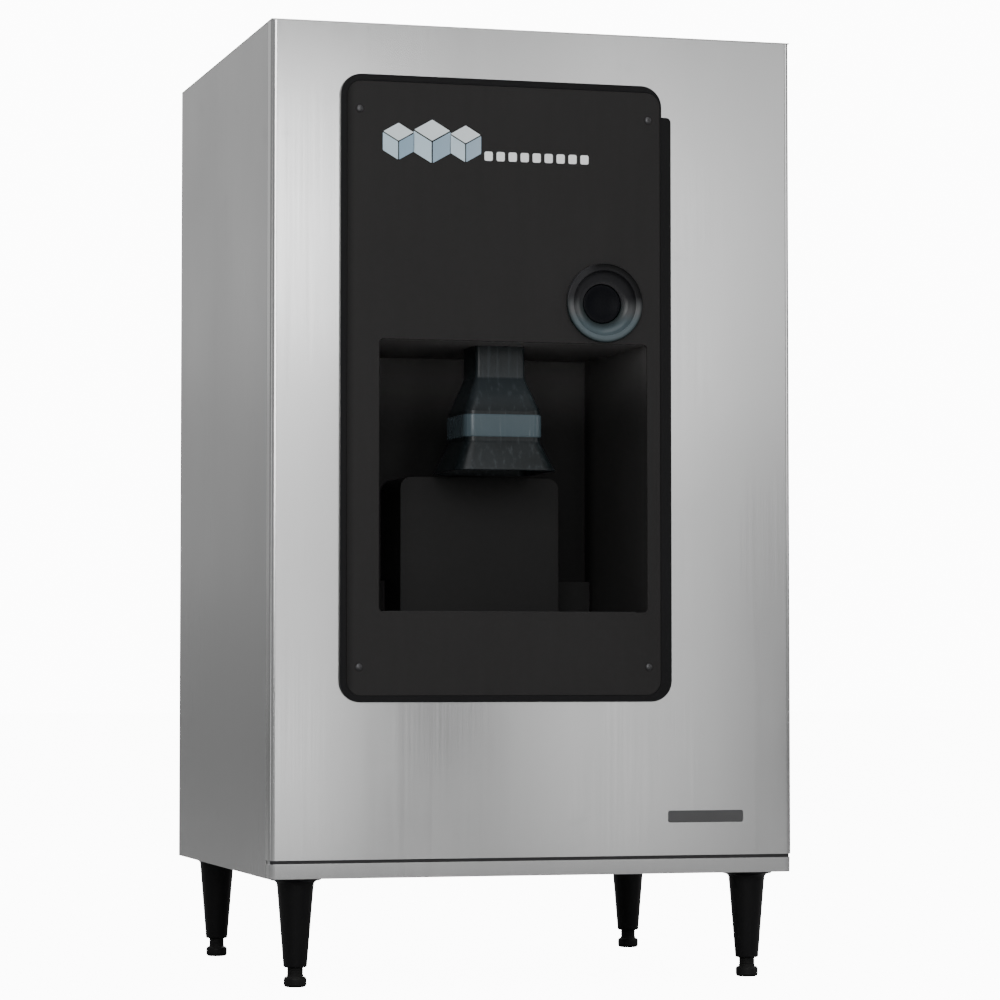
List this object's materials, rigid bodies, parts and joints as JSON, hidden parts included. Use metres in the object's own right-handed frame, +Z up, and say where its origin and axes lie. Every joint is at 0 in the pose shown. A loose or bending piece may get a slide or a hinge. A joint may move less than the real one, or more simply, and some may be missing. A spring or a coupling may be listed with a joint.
{
  "type": "ice dispenser",
  "caption": "Floor-standing ice dispenser on legs: a push button runs an auger that drops ice through a chute into an open bay with a drip grille.",
  "frame": {"origin": "on the floor, at the centre of the dispenser's width and depth", "axes": "+Z up, +X to the viewer's right when facing the front, +Y from the front to the back"},
  "size_m": [0.762, 0.7014, 1.3555],
  "materials": {
    "steel": "vertical brushed grain",
    "frame_steel": "bare zinc-coated sheet",
    "stainless": "mill finish",
    "fascia_border": "fine-grained satin",
    "fascia": "smooth satin film",
    "screw": "plated",
    "strip": "satin, bare",
    "bay": "moulded, fine grain",
    "guard": "moulded, fine grain",
    "chute": "slate blue, satin, with a paler glossy band",
    "coil": "moulded",
    "bezel": "glossy, dark above and pale grey-blue below",
    "button": "satin dark",
    "spring": "bright wire",
    "switch": "moulded",
    "liner": "food-grade white",
    "foam": "closed-cell insulating foam",
    "bush": "turned",
    "gear_steel": "cut teeth",
    "gear_plastic": "natural moulding",
    "gearbox": "die cast",
    "motor": "dark enamel",
    "grille": "dark anodised",
    "hose": "smooth",
    "fitting": "moulded",
    "lid": "moulded, insulated",
    "gasket": "soft",
    "control_box": "moulded",
    "inlet": "moulded",
    "rocker": "moulded",
    "leg": "black moulded shell",
    "foot": "black moulded"
  },
  "bodies": {
    "cabinet": {"side_panel_left": "steel", "side_panel_right": "steel", "front_panel": "steel", "rear_panel": "steel", "top_panel": "steel", "base_pan": "frame_steel", "cross_member_rear": "frame_steel", "front_shelf": "frame_steel", "fascia_frame": "fascia_border", "fascia_panel": "fascia", "fascia_screw_1": "screw", "fascia_screw_2": "screw", "fascia_screw_3": "screw", "fascia_screw_4": "screw", "blank_strip": "strip", "bay_liner": "bay", "splash_guard": "guard", "chute": "chute", "solenoid": "coil", "button_bezel": "bezel", "button_spring": "spring", "button_switch": "switch", "bin_liner": "liner", "bin_foam": "foam", "auger_housing": "liner", "auger_front_bearing": "bush", "auger_rear_bearing": "bush", "agitator_rear_bearing": "bush", "agitator_front_bearing": "bush", "drive_plate": "frame_steel", "gearbox": "gearbox", "drive_motor": "motor", "drip_sink": "stainless", "drain_hose": "hose", "drain_fitting": "fitting", "lid_gasket": "gasket", "lid_hinge": "stainless", "lid_hinge_pin": "stainless", "control_box": "control_box", "power_inlet": "inlet", "leg_1": "leg", "leg_2": "leg", "leg_3": "leg", "leg_4": "leg"},
    "button": {"push_button": "button"},
    "switch_arm": {"switch_lever": "stainless"},
    "auger_set": {"auger": "stainless", "auger_pinion": "gear_steel"},
    "agitator_set": {"agitator": "stainless", "agitator_gear": "gear_plastic"},
    "shutter": {"shutter_flap": "stainless", "shutter_lever": "stainless"},
    "plunger": {"solenoid_plunger": "stainless"},
    "drip_grille": {"grille": "grille"},
    "lid": {"fill_lid": "lid"},
    "rocker": {"power_rocker": "rocker"},
    "foot_front_left": {"foot_1": "foot"},
    "foot_front_right": {"foot_2": "foot"},
    "foot_rear_left": {"foot_3": "foot"},
    "foot_rear_right": {"foot_4": "foot"}
  },
  "joints": [
    {"name": "button_push", "type": "slide", "parent": "cabinet", "child": "button", "axis": [0, 1, 0], "range_m": [0, 0.006], "stiffness_N_per_m": 400, "springref_m": -0.005, "deforming": ["button_spring"]},
    {"name": "switch_swing", "type": "hinge", "parent": "cabinet", "child": "switch_arm", "pos_m": [0.0994, -0.3036, 0.937], "axis": [-1, 0, 0], "range_deg": [0, 18]},
    {"name": "auger_spin", "type": "hinge", "parent": "cabinet", "child": "auger_set", "pos_m": [-0.0325, 0, 1.02], "axis": [0, 1, 0], "continuous": true},
    {"name": "agitator_spin", "type": "hinge", "parent": "cabinet", "child": "agitator_set", "pos_m": [-0.0325, 0, 1.18], "axis": [0, 1, 0], "continuous": true},
    {"name": "shutter_swing", "type": "hinge", "parent": "cabinet", "child": "shutter", "pos_m": [-0.0325, -0.2085, 0.946], "axis": [1, 0, 0], "range_deg": [0, 50], "stiffness_Nm_per_rad": 0.15, "springref_deg": -20},
    {"name": "plunger_pull", "type": "slide", "parent": "cabinet", "child": "plunger", "axis": [0, -1, 0], "range_m": [0, 0.0188]},
    {"name": "grille_lift", "type": "slide", "parent": "cabinet", "child": "drip_grille", "axis": [0, 0, 1], "range_m": [0, 0.05]},
    {"name": "lid_open", "type": "hinge", "parent": "cabinet", "child": "lid", "pos_m": [0, 0.218, 1.3505], "axis": [-1, 0, 0], "range_deg": [0, 100]},
    {"name": "rocker_tip", "type": "hinge", "parent": "cabinet", "child": "rocker", "pos_m": [0.3, 0.3457, 0.306], "axis": [-1, 0, 0], "range_deg": [0, 24]},
    {"name": "foot_front_left_screw", "type": "slide", "parent": "cabinet", "child": "foot_front_left", "axis": [0, 0, -1], "range_m": [0, 0.02]},
    {"name": "foot_front_right_screw", "type": "slide", "parent": "cabinet", "child": "foot_front_right", "axis": [0, 0, -1], "range_m": [0, 0.02]},
    {"name": "foot_rear_left_screw", "type": "slide", "parent": "cabinet", "child": "foot_rear_left", "axis": [0, 0, -1], "range_m": [0, 0.02]},
    {"name": "foot_rear_right_screw", "type": "slide", "parent": "cabinet", "child": "foot_rear_right", "axis": [0, 0, -1], "range_m": [0, 0.02]}
  ],
  "couplings": [
    {"joint": "switch_swing", "follows": "button_push", "rad_per_m": 50},
    {"joint": "agitator_spin", "follows": "auger_spin", "ratio": -0.33333},
    {"joint": "plunger_pull", "follows": "shutter_swing", "m_per_rad": 0.021374}
  ]
}
